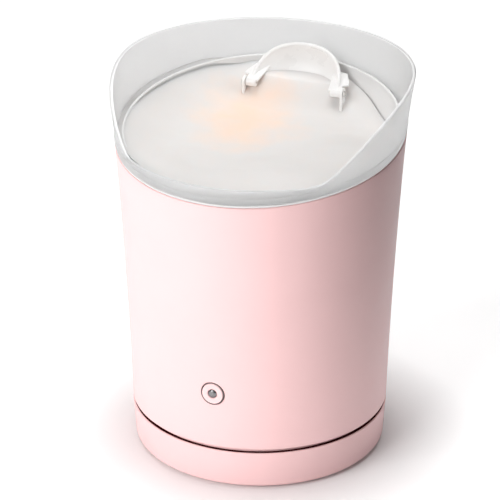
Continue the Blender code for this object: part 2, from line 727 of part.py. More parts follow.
def grip_hood():
    across, along = 18, 3

    def build(mesh):
        rows = []
        for j in range(along + 1):
            rows.append([mesh.verts.new(hood_point(math.pi * (0.02 + 0.96 * i / across), j / along))
                         for i in range(across + 1)])
        for low, high in zip(rows, rows[1:]):
            for i in range(across):
                mesh.faces.new((low[i], low[i + 1], high[i + 1], high[i]))
    hood = place("grip_hood", mesh_from("grip_hood", build), FROSTED)
    skin = hood.modifiers.new("skin", "SOLIDIFY")
    skin.thickness = 0.0016
    skin.offset = 0.0
    rim_route = [hood_point(math.pi * (0.02 + 0.96 * i / across), 0.0)
                 for i in range(across + 1)]
    rim = as_mesh(wire("rim", rim_route, 0.0013, FROSTED))
    add(hood, rim.data)
    bpy.data.objects.remove(rim, do_unlink=True)
    barrels = [(s * 0.0292, HINGE_Y, HINGE_Z) for s in (-1, 1)]
    add(hood, rods("barrels", barrels, 0.0027, 0.0068, "X", 20))
    wings = [(0.0245, -0.0015), (0.0326, -0.0015), (0.0326, 0.0050), (0.0360, 0.0060),
             (0.0354, 0.0095), (0.0314, 0.0188), (0.0215, 0.0200)]
    for side in (-1, 1):
        wing = plate("wing", [[(side * x, y) for x, y in wings]], 0.0014, FROSTED)
        wing.rotation_euler = (WING_TILT, 0, 0)
        wing.location = (0, HINGE_Y, HINGE_Z + 0.0014)
        wing = as_mesh(wing)
        wing.data.transform(wing.matrix_world)
        add(hood, wing.data)
        bpy.data.objects.remove(wing, do_unlink=True)
    cut(hood, rods("bores", barrels, 0.0013, 0.0110, "X", 12))


clear_scene()
PARTS = new_collection("paraffin_wax_bath")
TOOLS = new_collection("cutters")

PINK = material("pink_plastic", (0.93, 0.70, 0.72), 0.38)
WHITE = material("white_plastic", (0.86, 0.85, 0.84), 0.45)
FROSTED = material("frosted_plastic", (0.80, 0.80, 0.80), 0.35)
CAP = material("button_plastic", (0.92, 0.80, 0.80), 0.35)
DARK = material("dark_ring", (0.10, 0.09, 0.09), 0.4)
BLACK = material("black_plastic", (0.05, 0.05, 0.05), 0.5)
BLUE = material("blue_plastic", (0.08, 0.16, 0.45), 0.5)
GREEN = material("green_plastic", (0.08, 0.35, 0.14), 0.5)
BOARD = material("circuit_board", (0.06, 0.25, 0.13), 0.5)
RUBBER = material("rubber", (0.10, 0.10, 0.10), 0.9)
SILICONE = material("silicone", (0.75, 0.75, 0.73), 0.6)
STEEL = material("steel", (0.60, 0.60, 0.60), 0.35, 1.0)
STAINLESS = material("stainless", (0.70, 0.70, 0.69), 0.30, 1.0)
ALUMINIUM = material("aluminium", (0.78, 0.78, 0.78), 0.35, 1.0)
BRASS = material("brass", (0.75, 0.60, 0.30), 0.3, 1.0)
MICA = material("mica", (0.55, 0.48, 0.38), 0.6)
FELT = material("felt", (0.80, 0.78, 0.70), 0.95)
LEAD = material("lead_insulation", (0.75, 0.75, 0.72), 0.5)

outer_casing()
base_housing()
rubber_feet()
case_screws()
tank_surround()
collar_seal()
splash_collar()
wax_tank()
tank_seal()
flange_screws()
band_heater()
clamp_bolt()
insulation_sleeve()
heat_shield()
thermostat()
thermal_fuse()
control_board()
board_components()
power_inlet()
wiring()
power_button()
switch_parts()
guard_floor()
uprights()
grip_hood()
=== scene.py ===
"""Looks of the paraffin wax bath: fine shells, frosted collar and hood, wax, light and camera.

Metres, in the CAD model's frame: +Z up, the front faces -Y, angles run from the
front towards +X.
"""

import math

import bmesh
import bpy
import numpy as np
from mathutils import Matrix, Vector, noise


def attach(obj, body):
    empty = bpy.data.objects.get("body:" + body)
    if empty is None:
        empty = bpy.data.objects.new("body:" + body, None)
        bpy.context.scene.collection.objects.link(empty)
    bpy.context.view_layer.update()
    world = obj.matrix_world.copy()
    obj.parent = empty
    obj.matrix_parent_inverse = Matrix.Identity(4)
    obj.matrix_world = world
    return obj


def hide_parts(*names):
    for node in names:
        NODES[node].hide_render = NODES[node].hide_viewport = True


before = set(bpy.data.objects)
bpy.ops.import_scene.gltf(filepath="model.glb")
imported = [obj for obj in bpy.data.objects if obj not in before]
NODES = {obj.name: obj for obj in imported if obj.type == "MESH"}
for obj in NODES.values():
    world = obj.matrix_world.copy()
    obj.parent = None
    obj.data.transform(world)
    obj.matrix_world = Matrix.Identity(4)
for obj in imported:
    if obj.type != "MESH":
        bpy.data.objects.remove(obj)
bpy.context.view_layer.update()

# The drum's outline, as in the CAD model
BODY_R = 0.084
WALL = 0.0025
SEAM_Z = 0.2125
SEAM_TILT = math.radians(8.5)
SEAM_R = 0.0922
RIM_FRONT_Z = 0.2108
RIM_REAR_Z = 0.2555
RIM_RISE_FROM = math.radians(42)
RIM_RISE_OVER = math.radians(29)
RIM_RISE_POWER = 1.55
COLLAR_WALL = 0.0026
COLLAR_STEP = 0.00025     # the collar's side is set back by this above its foot
SHELF_Z = 0.1846          # underside of the tank surround's shelf
GAP = 0.0003
BASE_TOP_Z = 0.0268
CASING_Z = 0.0294
BUTTON_Z = 0.0676
BUTTON_FACE_Y = -0.0856
BUTTON_HOLE_R = 0.0080
INLET_Z = 0.050
INLET_HOLE_W = 0.0216
INLET_HOLE_H = 0.0136
CUT_DEPTH = 0.014         # how deep the two openings' cutters reach through the wall
EDGE_R = 0.0007           # rounding of the pink mouldings' edges
HINGE = Vector((0.0, 0.062, 0.2205))
HOOD_W = 0.0295
HOOD_H = 0.032
HOOD_LEAN = math.radians(48)
HOOD_RIM_R = 0.0014
WING_THICK = 0.0014
WING_TILT = math.radians(15)

FLAG_R = 0.29             # distance of the black card from the drum's axis

SIDES = 180               # steps around the drum's shells

# Wax filling
TANK_FLOOR_Z = 0.1010
TANK_FLANGE_Z = 0.1876
TANK_R = 0.0752
WAX_LEVEL = 0.2015
WAX_CEILING = 0.2222      # below the grip hood's rear edge
WAX_PUFFS = 46

# Camera, which stands where the reference view was taken from
CAMERA_TARGET = Vector((0.0, 0.0, 0.1092))
CAMERA_DISTANCE = 1.512
CAMERA_AZIMUTH = math.radians(20.64)
CAMERA_ELEVATION = math.radians(24.8)
CAMERA_LENS = 167.1
AIM_UP = 0.0190           # the aim passes above and to the left of the target
AIM_LEFT = 0.0065


# Outline functions

def around(angle, radius, height):
    return Vector((radius * math.sin(angle), -radius * math.cos(angle), height))


def outer_r(z):
    t = z / BODY_R - 0.33
    lip = max(0.0, z / BODY_R - 2.45)
    return BODY_R * (1 + 0.0237 * t + 0.0099 * t * t + 0.075 * lip * lip)


def seam_z(angle):
    return SEAM_Z - math.tan(SEAM_TILT) * SEAM_R * math.cos(angle)


def rim_z(angle):
    turn = abs((angle + math.pi) % (2 * math.pi) - math.pi)
    past = max(0.0, turn - RIM_RISE_FROM) / RIM_RISE_OVER
    return RIM_FRONT_Z + (RIM_REAR_Z - RIM_FRONT_Z) * (1 - math.exp(-past ** RIM_RISE_POWER))


# Mesh building

def finish_mesh(mesh, name, body, look, smooth=38):
    bmesh.ops.recalc_face_normals(mesh, faces=mesh.faces)
    data = bpy.data.meshes.new(name)
    mesh.to_mesh(data)
    mesh.free()
    return show(name, data, body, look, smooth)


def show(name, data, body, look, smooth=38):
    piece = bpy.data.objects.new(name, data)
    bpy.context.scene.collection.objects.link(piece)
    if isinstance(data, bpy.types.Mesh):
        data.shade_smooth()
        if smooth:
            data.set_sharp_from_angle(angle=math.radians(smooth))
    if look:
        data.materials.clear()
        data.materials.append(look)
    if body:
        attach(piece, body)
    return piece


def ring(section, sides=SIDES):
    """Closed ring whose (radius, height) outline may change with the angle, as a bmesh."""
    mesh = bmesh.new()
    loops = []
    for step in range(sides):
        angle = 2 * math.pi * step / sides
        loops.append([mesh.verts.new(around(angle, *point)) for point in section(angle)])
    count = len(loops[0])
    for step in range(sides):
        here, there = loops[step], loops[(step + 1) % sides]
        for i in range(count):
            j = (i + 1) % count
            mesh.faces.new((here[i], here[j], there[j], there[i]))
    return mesh


def lathe(profile, sides=64):
    """Solid turned from an open (radius, height) profile whose ends are on the axis."""
    mesh = bmesh.new()
    first = mesh.verts.new((0, 0, profile[0][1]))
    last = mesh.verts.new((0, 0, profile[-1][1]))
    loops = []
    for step in range(sides):
        angle = 2 * math.pi * step / sides
        loops.append([mesh.verts.new(around(angle, r, z)) for r, z in profile[1:-1]])
    for step in range(sides):
        here, there = loops[step], loops[(step + 1) % sides]
        mesh.faces.new((first, here[0], there[0]))
        mesh.faces.new((last, there[-1], here[-1]))
        for i in range(len(here) - 1):
            mesh.faces.new((here[i], here[i + 1], there[i + 1], there[i]))
    return mesh


def cutter(name, mesh):
    data = bpy.data.meshes.new(name)
    bmesh.ops.recalc_face_normals(mesh, faces=mesh.faces)
    mesh.to_mesh(data)
    mesh.free()
    helper = bpy.data.objects.new(name, data)
    bpy.context.scene.collection.objects.link(helper)
    return helper


def applied(piece, helpers, own_overlap=False):
    """Apply the piece's Boolean steps with the given (helper, operation) pairs, drop the helpers.

    own_overlap is for pieces that fold over themselves.
    """
    for helper, operation in helpers:
        step = piece.modifiers.new(operation.lower(), "BOOLEAN")
        step.operation = operation
        step.solver = "EXACT"
        step.use_self = own_overlap
        step.object = helper
    bpy.context.view_layer.update()
    graph = bpy.context.evaluated_depsgraph_get()
    data = bpy.data.meshes.new_from_object(piece.evaluated_get(graph))
    piece.modifiers.clear()
    piece.data = data
    for helper, operation in helpers:
        bpy.data.objects.remove(helper, do_unlink=True)
    return piece


def cylinder(spot, radius, length, axis, sides=64):
    turn = {"X": Matrix.Rotation(math.radians(90), 4, "Y"),
            "Y": Matrix.Rotation(math.radians(-90), 4, "X")}.get(axis, Matrix.Identity(4))
    mesh = bmesh.new()
    bmesh.ops.create_cone(mesh, cap_ends=True, segments=sides, radius1=radius, radius2=radius,
                          depth=length, matrix=Matrix.Translation(spot) @ turn)
    return mesh


def cube(spot, sides):
    mesh = bmesh.new()
    bmesh.ops.create_cube(mesh, size=1.0,
                          matrix=Matrix.Translation(spot) @ Matrix.Diagonal((*sides, 1.0)))
    return mesh


# Materials

def new_look(name):
    look = bpy.data.materials.new(name)
    look.use_nodes = True
    tree = look.node_tree
    return look, tree, tree.nodes["Principled BSDF"]


def noise_of(tree, scale, detail=3.0, roughness=0.5, stretch=None):
    """Noise in the object's own space, optionally stretched along its axes."""
    space = tree.nodes.new("ShaderNodeTexCoord")
    texture = tree.nodes.new("ShaderNodeTexNoise")
    texture.inputs["Scale"].default_value = scale
    texture.inputs["Detail"].default_value = detail
    texture.inputs["Roughness"].default_value = roughness
    if stretch:
        mapping = tree.nodes.new("ShaderNodeMapping")
        mapping.inputs["Scale"].default_value = stretch
        tree.links.new(space.outputs["Object"], mapping.inputs["Vector"])
        tree.links.new(mapping.outputs["Vector"], texture.inputs["Vector"])
    else:
        tree.links.new(space.outputs["Object"], texture.inputs["Vector"])
    return texture.outputs["Fac"]


def ramp(tree, value, low, high, start=0.3, end=0.7):
    """Map a 0-1 value to colours from low to high."""
    node = tree.nodes.new("ShaderNodeValToRGB")
    node.color_ramp.elements[0].position = start
    node.color_ramp.elements[1].position = end
    node.color_ramp.elements[0].color = (*low, 1.0)
    node.color_ramp.elements[1].color = (*high, 1.0)
    tree.links.new(value, node.inputs["Fac"])
    return node.outputs["Color"]


def to_range(tree, value, low, high):
    node = tree.nodes.new("ShaderNodeMapRange")
    node.inputs["From Min"].default_value = 0.3
    node.inputs["From Max"].default_value = 0.7
    node.inputs["To Min"].default_value = low
    node.inputs["To Max"].default_value = high
    tree.links.new(value, node.inputs["Value"])
    return node.outputs["Result"]


def bump(tree, shader, value, strength, distance):
    node = tree.nodes.new("ShaderNodeBump")
    node.inputs["Strength"].default_value = strength
    node.inputs["Distance"].default_value = distance
    tree.links.new(value, node.inputs["Height"])
    tree.links.new(node.outputs["Normal"], shader.inputs["Normal"])


def tinted(colour, factor):
    return tuple(min(1.0, c * factor) for c in colour)


def moulded(name, colour, roughness, spread=0.02, grain=1400, grain_depth=0.00003,
            metallic=0.0, stretch=None):
    """Moulded or metal surface: faint clouding, uneven gloss and a fine grain."""
    look, tree, shader = new_look(name)
    cloud = noise_of(tree, 28, 4.0, 0.55)
    base = ramp(tree, cloud, tinted(colour, 1 - spread), tinted(colour, 1 + spread))
    tree.links.new(base, shader.inputs["Base Color"])
    gloss = noise_of(tree, 60, 4.0, 0.6, stretch)
    rough = to_range(tree, gloss, roughness * 0.88, roughness * 1.12)
    tree.links.new(rough, shader.inputs["Roughness"])
    fine = noise_of(tree, grain, 2.0, 0.5, stretch)
    bump(tree, shader, fine, 0.25, grain_depth)
    shader.inputs["Metallic"].default_value = metallic
    return look, shader


def frosted(name, colour, roughness, transmission, depth):
    """Sand-blasted plastic; transmission and a scattering depth above 0 let light through."""
    look, shader = moulded(name, colour, roughness, 0.02, 2200, 0.00002)
    shader.inputs["Transmission Weight"].default_value = transmission
    shader.inputs["Subsurface Weight"].default_value = 1.0 if depth else 0.0
    shader.inputs["Subsurface Radius"].default_value = (depth, depth, depth)
    shader.inputs["Subsurface Scale"].default_value = 1.0
    shader.inputs["IOR"].default_value = 1.45
    return look


PINK, _ = moulded("pink_satin", (0.94, 0.615, 0.615), 0.42, 0.008, 1600, 0.00002)
# Near-black dark red for the groove between base and casing: painted shade of that recess.
GROOVE_SHADE, groove_shade_shader = moulded("painted_groove_shade", (0.040, 0.003, 0.005), 0.8, 0.1)
groove_shade_shader.inputs["Specular IOR Level"].default_value = 0.08
WHITE, _ = moulded("white_moulding", (0.86, 0.855, 0.85), 0.45)
BUTTON_SKIN, _ = moulded("button_satin", (0.94, 0.64, 0.64), 0.34, 0.01)
# Dark colour for the thin ring round the button's cap: painted shade of the gap round the cap.
GAP_SHADE_RING, _ = moulded("button_gap_shade", (0.10, 0.075, 0.075), 0.40)
BLACK, _ = moulded("black_moulding", (0.022, 0.022, 0.023), 0.48, 0.10)
BLUE, _ = moulded("blue_case", (0.03, 0.10, 0.36), 0.42, 0.05)
GREEN, _ = moulded("green_terminals", (0.04, 0.26, 0.09), 0.46, 0.05)
BOARD, _ = moulded("green_laminate", (0.02, 0.15, 0.06), 0.36, 0.18, 700)
RUBBER, _ = moulded("black_rubber", (0.035, 0.034, 0.033), 0.82, 0.12, 900, 0.00006)
SILICONE, _ = moulded("clear_silicone", (0.72, 0.72, 0.70), 0.42, 0.03)
STEEL, _ = moulded("plated_steel", (0.56, 0.56, 0.57), 0.28, 0.05, 900, 0.00002, metallic=1.0)
DOME_STEEL, _ = moulded("button_steel", (0.24, 0.24, 0.245), 0.26, 0.06, 900, 0.00002,
                        metallic=1.0)
STAINLESS, _ = moulded("brushed_stainless", (0.66, 0.65, 0.63), 0.30, 0.04, 500, 0.00003,
                       metallic=1.0, stretch=(1, 14, 1))
ALUMINIUM, _ = moulded("drawn_aluminium", (0.76, 0.76, 0.77), 0.34, 0.03, 500, 0.00003,
                       metallic=1.0, stretch=(1, 1, 12))
BRASS, _ = moulded("brass", (0.72, 0.50, 0.20), 0.30, 0.06, 700, 0.00002, metallic=1.0)
MICA, _ = moulded("mica_laminate", (0.46, 0.38, 0.28), 0.50, 0.22, 300, 0.0001)
FELT, _ = moulded("glass_felt", (0.76, 0.73, 0.64), 0.95, 0.12, 500, 0.0004)
LEAD, _ = moulded("lead_sheath", (0.70, 0.70, 0.67), 0.48, 0.05)
FROSTED = frosted("frosted_clear", (0.92, 0.92, 0.92), 0.36, 0.50, 0.010)
HOOD_FROST = frosted("frosted_hood", (0.94, 0.93, 0.92), 0.28, 0.0, 0.0)
RIM_FROST = frosted("frosted_rim", (0.97, 0.97, 0.97), 0.20, 0.0, 0.0)


def wax_look():
    """Half-set milky wax, with a warm peach patch off the middle: painted light, a warm glow
    painted into its colour.
    """
    look, tree, shader = new_look("milky_wax")
    space = tree.nodes.new("ShaderNodeTexCoord")
    reach = tree.nodes.new("ShaderNodeMapping")
    reach.inputs["Location"].default_value = (0.020, -0.030, 0.0)
    centred = tree.nodes.new("ShaderNodeMapping")
    centred.inputs["Scale"].default_value = (1 / 0.067, 1 / 0.076, 0.0)
    length = tree.nodes.new("ShaderNodeVectorMath")
    length.operation = "LENGTH"
    tree.links.new(space.outputs["Object"], reach.inputs["Vector"])
    tree.links.new(reach.outputs["Vector"], centred.inputs["Vector"])
    tree.links.new(centred.outputs["Vector"], length.inputs[0])
    mottle = noise_of(tree, 45, 3.0, 0.5)
    blend = tree.nodes.new("ShaderNodeMath")
    blend.operation = "MULTIPLY_ADD"
    tree.links.new(mottle, blend.inputs[0])
    blend.inputs[1].default_value = 0.7
    tree.links.new(length.outputs["Value"], blend.inputs[2])
    # Peach near the patch's centre fading to the wax's milky white: a painted warm glow, with noise
    # mottling its edge.
    colour = ramp(tree, blend.outputs["Value"], (0.96, 0.74, 0.61), (0.80, 0.775, 0.757),
                  0.45, 1.50)
    tree.links.new(colour, shader.inputs["Base Color"])
    shader.inputs["Roughness"].default_value = 0.7
    shader.inputs["Subsurface Weight"].default_value = 0.6
    shader.inputs["Subsurface Radius"].default_value = (0.007, 0.006, 0.0055)
    shader.inputs["Subsurface Scale"].default_value = 1.0
    fine = noise_of(tree, 90, 4.0, 0.5)
    bump(tree, shader, fine, 0.10, 0.0006)
    return look


# Pieces that stand for CAD nodes

def arc(centre_r, centre_z, radius, start, end, steps=4):
    angles = [math.radians(start + (end - start) * i / steps) for i in range(steps + 1)]
    return [(centre_r + radius * math.cos(a), centre_z + radius * math.sin(a)) for a in angles]


def skin_points(low, high, inset, steps):
    heights = [low + (high - low) * i / steps for i in range(1, steps)]
    return [(outer_r(z) - inset, z) for z in heights]


def outer_casing():
    def section(angle):
        edge = EDGE_R
        low, top = CASING_Z + edge, seam_z(angle) - edge
        return (arc(outer_r(low) - edge, low, edge, -90, 0)
                + skin_points(low, top, 0.0, 30)
                + arc(outer_r(top) - edge, top, edge, 0, 90)
                + [(outer_r(z) - WALL, z) for z in
                   [seam_z(angle) + (CASING_Z - seam_z(angle)) * i / 12 for i in range(13)]])
    casing = finish_mesh(ring(section), "casing_shell", "root", PINK)
    button = cutter("cut", cylinder((0, -BODY_R, BUTTON_Z), BUTTON_HOLE_R, CUT_DEPTH, "Y", 96))
    inlet = cutter("cut", cube((0, BODY_R, INLET_Z), (INLET_HOLE_W, CUT_DEPTH, INLET_HOLE_H)))
    applied(casing, [(button, "DIFFERENCE"), (inlet, "DIFFERENCE")])
    casing.data.set_sharp_from_angle(angle=math.radians(38))
    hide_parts("outer_casing")


def base_housing():
    low = 0.0015
    top_r, top = outer_r(BASE_TOP_Z), BASE_TOP_Z
    spigot = outer_r(CASING_Z) - WALL - 0.0006
    edge = EDGE_R
    profile = ([(0.0, low + 0.003), (0.0782, low + 0.003), (0.0788, 0.036),
                (spigot - 0.0006, 0.036), (spigot, 0.0354), (spigot, top)]
               + arc(top_r - edge, top - edge, edge, 90, 0)
               + [(0.0834, 0.018), (0.0830, 0.0110), (0.0827, 0.0070)]
               + arc(0.0800, low + 0.0026, 0.0026, -4, -90, 8) + [(0.0, low)])
    base = finish_mesh(lathe(profile, SIDES), "base_shell", "root", PINK)
    spots = [around(math.radians(a), 0.070, 0.0) for a in (45, 135, 225, 315)]
    steps = []
    # Screw posts, the wells below their screws and the screws' holes
    for height, radius, length, sides, operation in (
            (0.0166, 0.0052, 0.0252, 32, "UNION"),
            (0.0110, 0.0036, 0.0240, 32, "DIFFERENCE"),
            (0.0260, 0.0018, 0.0100, 24, "DIFFERENCE")):
        for spot in spots:
            mesh = cylinder(spot + Vector((0, 0, height)), radius, length, "Z", sides)
            steps.append((cutter("step", mesh), operation))
    # Seats of the feet
    for angle in (0, 90, 180, 270):
        spot = around(math.radians(angle), 0.064, 0.0015)
        steps.append((cutter("cut", cylinder(spot, 0.0075, 0.0030, "Z", 48)), "DIFFERENCE"))
    applied(base, steps)
    base.data.set_sharp_from_angle(angle=math.radians(30))
    base.data.materials.append(GROOVE_SHADE)
    # The groove's faces take the near-black finish: painted shade in the recess between base and
    # casing.
    for face in base.data.polygons:
        middle = face.center
        reach = math.hypot(middle.x, middle.y)
        if BASE_TOP_Z - 0.0001 < middle.z < CASING_Z and 0.078 < reach < top_r - 0.0008:
            face.material_index = 1
    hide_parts("base_housing")


def tank_surround():
    def section(angle):
        seat = seam_z(angle) + GAP
        r_top = outer_r(seat)
        low = SHELF_Z - 0.002
        outside = [(outer_r(z) - 0.0030, z) for z in
                   [low + (seat - low) * i / 6 for i in range(7)]]
        flange = [(r_top - 0.0005, seat), (r_top - 0.0005, seat + 0.0012),
                  (r_top - 0.0042, seat + 0.0012)]
        crest = arc(r_top - 0.0051, seat + 0.0061, 0.0009, 0, 180, 8)
        inside = [(outer_r(z) - 0.0060, z) for z in
                  [seat + 0.0050 + (SHELF_Z - seat - 0.0050) * i / 8 for i in range(9)]]
        return outside + flange + crest + inside + [(0.0773, SHELF_Z), (0.0773, low)]
    piece = finish_mesh(ring(section), "tank_surround_moulding", "root", WHITE)
    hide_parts("tank_surround")


def splash_collar():
    fillet = 0.0005

    def section(angle):
        low = seam_z(angle) + 0.0018
        high = rim_z(angle)
        r_high = outer_r(high)
        steps = 22
        outside = arc(outer_r(low) - 0.0005, low + 0.0005, 0.0005, -90, 0, 3)
        outside += [(outer_r(low + 0.0045), low + 0.0045),
                    (outer_r(low + 0.0047) - COLLAR_STEP, low + 0.0047)]
        outside += [(outer_r(z) - COLLAR_STEP, z) for z in
                    [low + 0.0049 + (high - fillet - low - 0.0049) * i / steps
                     for i in range(1, steps)]]
        crown = arc(r_high - COLLAR_STEP - fillet, high - fillet, fillet, 0, 90, 5)
        crown.append((r_high - 0.0012, high))
        crown += arc(r_high - COLLAR_WALL + fillet, high - fillet, fillet, 90, 180, 5)
        inside = [(outer_r(z) - COLLAR_WALL, z) for z in
                  [high - fillet + (low - high + fillet) * i / steps for i in range(1, steps + 1)]]
        return outside + crown + inside
    piece = finish_mesh(ring(section), "frosted_collar", "splash_collar", FROSTED)
    piece.data.materials.append(RIM_FROST)
    for face in piece.data.polygons:
        x, y, z = face.center
        high = rim_z(math.atan2(x, -y))
        if z > high - 0.0006 and math.hypot(x, y) < outer_r(high) - 0.0013:
            face.material_index = 1
    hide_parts("splash_collar")


def facing_front(profile, y, name, body, look, sides=72):
    """Turned piece whose axis points to the front."""
    mesh = lathe(profile, sides)
    matrix = Matrix.Translation((0, y, BUTTON_Z)) @ Matrix.Rotation(math.radians(90), 4, "X")
    bmesh.ops.transform(mesh, matrix=matrix, verts=mesh.verts)
    return finish_mesh(mesh, name, body, look, 32)


def power_button():
    cap = ([(0.0, -0.0012), (0.0031, -0.0012)] + arc(0.0034, -0.0003, 0.0003, 180, 90, 3)
           + arc(0.0066, -0.0004, 0.0004, 90, 0, 4)
           + [(0.0070, -0.0036), (0.0078, -0.0036), (0.0078, -0.0046), (0.0020, -0.0046),
              (0.0020, -0.0128), (0.0, -0.0128)])
    piece = facing_front(cap, BUTTON_FACE_Y, "power_cap", "power_button", BUTTON_SKIN)
    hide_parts("button_cap")
    dome = [(0.0, 0.0006)] + [(0.0029 * math.sin(math.radians(a)),
                               -0.0008 + 0.0014 * math.cos(math.radians(a)))
                              for a in range(10, 91, 10)] + [(0.0029, -0.0009), (0.0, -0.0009)]
    piece = facing_front(dome, BUTTON_FACE_Y, "power_dome", "power_button", DOME_STEEL)
    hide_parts("button_dome")
    # Thin dark ring in the gap between the cap and the casing's hole, coloured as painted shade of
    # that gap.
    mesh = bmesh.new()
    sides = 96
    outline = ([(0.00775, -0.0032)] + arc(0.0076, -0.00015, 0.00015, 0, 90, 3)
               + arc(0.0074, -0.00015, 0.00015, 90, 180, 3) + [(0.00725, -0.0032)])
    loops = []
    for step in range(sides):
        a = 2 * math.pi * step / sides
        loops.append([mesh.verts.new((r * math.cos(a), BUTTON_FACE_Y + 0.0002 - h,
                                      BUTTON_Z + r * math.sin(a))) for r, h in outline])
    for step in range(sides):
        here, there = loops[step], loops[(step + 1) % sides]
        for i in range(len(outline)):
            j = (i + 1) % len(outline)
            mesh.faces.new((here[i], here[j], there[j], there[i]))
    piece = finish_mesh(mesh, "power_bezel", "root", GAP_SHADE_RING)
    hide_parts("button_bezel")


def hood_point(turn, back):
    lean = HOOD_LEAN + back * math.radians(34)
    half = HOOD_W - 0.0020 * back
    reach = HOOD_H - 0.0105 * back
    across = math.copysign(abs(math.cos(turn)) ** 0.85, math.cos(turn))
    up = reach * math.sin(turn) ** 0.85
    return Vector((half * across, HINGE.y + up * math.sin(lean), HINGE.z + up * math.cos(lean)))


def tube(mesh, route, radius, sides=16):
    """Add a round tube with flat ends along a route."""
    count = len(route)
    loops = []
    for i, spot in enumerate(route):
        ahead = (route[min(i + 1, count - 1)] - route[max(i - 1, 0)]).normalized()
        side = ahead.cross(Vector((0.0, 0.6, -0.8))).normalized()
        up = side.cross(ahead).normalized()
        loops.append([mesh.verts.new(spot + radius * (math.cos(a) * side + math.sin(a) * up))
                      for a in [2 * math.pi * k / sides for k in range(sides)]])
    for low, high in zip(loops, loops[1:]):
        for k in range(sides):
            j = (k + 1) % sides
            mesh.faces.new((low[k], low[j], high[j], high[k]))
    mesh.faces.new(loops[0][::-1])
    mesh.faces.new(loops[-1])


def hood_sheet():
    """Closed curved sheet of the hood, from its front rim to its rear edge."""
    across, along = 72, 14
    half = 0.0008
    mesh = bmesh.new()

    def at(i, j):
        return hood_point(math.pi * (0.02 + 0.96 * i / across), j / along)

    def normal(i, j):
        i0, i1 = max(i - 1, 0), min(i + 1, across)
        j0, j1 = max(j - 1, 0), min(j + 1, along)
        return (at(i1, j) - at(i0, j)).cross(at(i, j1) - at(i, j0)).normalized()
    sheets = [[[mesh.verts.new(at(i, j) + side * half * normal(i, j)) for i in range(across + 1)]
               for j in range(along + 1)] for side in (-1, 1)]
    for grid in sheets:
        for low, high in zip(grid, grid[1:]):
            for i in range(across):
                mesh.faces.new((low[i], low[i + 1], high[i + 1], high[i]))
    near, far = sheets
    for j in (0, along):
        for i in range(across):
            mesh.faces.new((near[j][i], near[j][i + 1], far[j][i + 1], far[j][i]))
    for i in (0, across):
        for j in range(along):
            mesh.faces.new((near[j][i], near[j + 1][i], far[j + 1][i], far[j][i]))
    rim, step = bmesh.new(), bmesh.new()
    tube(rim, [at(i, 0) for i in range(across + 1)], HOOD_RIM_R)
    tube(step, [at(i, 3) - 0.0006 * normal(i, 3) for i in range(across + 1)], 0.0008)
    return mesh, rim, step


def hood_wing(side):
    """Flat wing beside the hood, tilted up to the rear, with its edges rounded over."""
    outline = [(0.0245, -0.0015), (0.0326, -0.0015), (0.0326, 0.0050), (0.0360, 0.0060),
               (0.0354, 0.0095), (0.0314, 0.0188), (0.0215, 0.0200)]
    mesh = bmesh.new()
    low = [mesh.verts.new((side * x, y, 0.0)) for x, y in outline]
    high = [mesh.verts.new((side * x, y, WING_THICK)) for x, y in outline]
    mesh.faces.new(low)
    mesh.faces.new(high)
    for i in range(len(outline)):
        j = (i + 1) % len(outline)
        mesh.faces.new((low[i], low[j], high[j], high[i]))
    bmesh.ops.recalc_face_normals(mesh, faces=mesh.faces)
    bmesh.ops.bevel(mesh, geom=list(mesh.edges), offset=0.0004, segments=3, profile=0.5,
                    affect="EDGES")
    matrix = (Matrix.Translation(HINGE + Vector((0, 0, WING_THICK)))
              @ Matrix.Rotation(WING_TILT, 4, "X"))
    bmesh.ops.transform(mesh, matrix=matrix, verts=mesh.verts)
    return mesh


def hood_barrel(side):
    """Hinge barrel with a small chamfer at each end."""
    half, radius, edge = 0.0034, 0.0027, 0.0004
    profile = [(0.0, -half), (radius - edge, -half), (radius, -half + edge),
               (radius, half - edge), (radius - edge, half), (0.0, half)]
    mesh = lathe(profile, 48)
    matrix = (Matrix.Translation(HINGE + Vector((side * 0.0292, 0, 0)))
              @ Matrix.Rotation(math.radians(90), 4, "Y"))
    bmesh.ops.transform(mesh, matrix=matrix, verts=mesh.verts)
    return mesh


def grip_hood():
    sheet, rim, step = hood_sheet()
    piece = finish_mesh(sheet, "frosted_hood", None, HOOD_FROST, 0)
    steps = [(cutter("add", mesh), "UNION") for mesh in
             (rim, step, hood_barrel(-1), hood_barrel(1), hood_wing(-1), hood_wing(1))]
    applied(piece, steps, True)
    piece.data.shade_smooth()
    piece.data.set_sharp_from_angle(angle=math.radians(40))
    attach(piece, "grip_hood")
    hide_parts("grip_hood")


# Wax

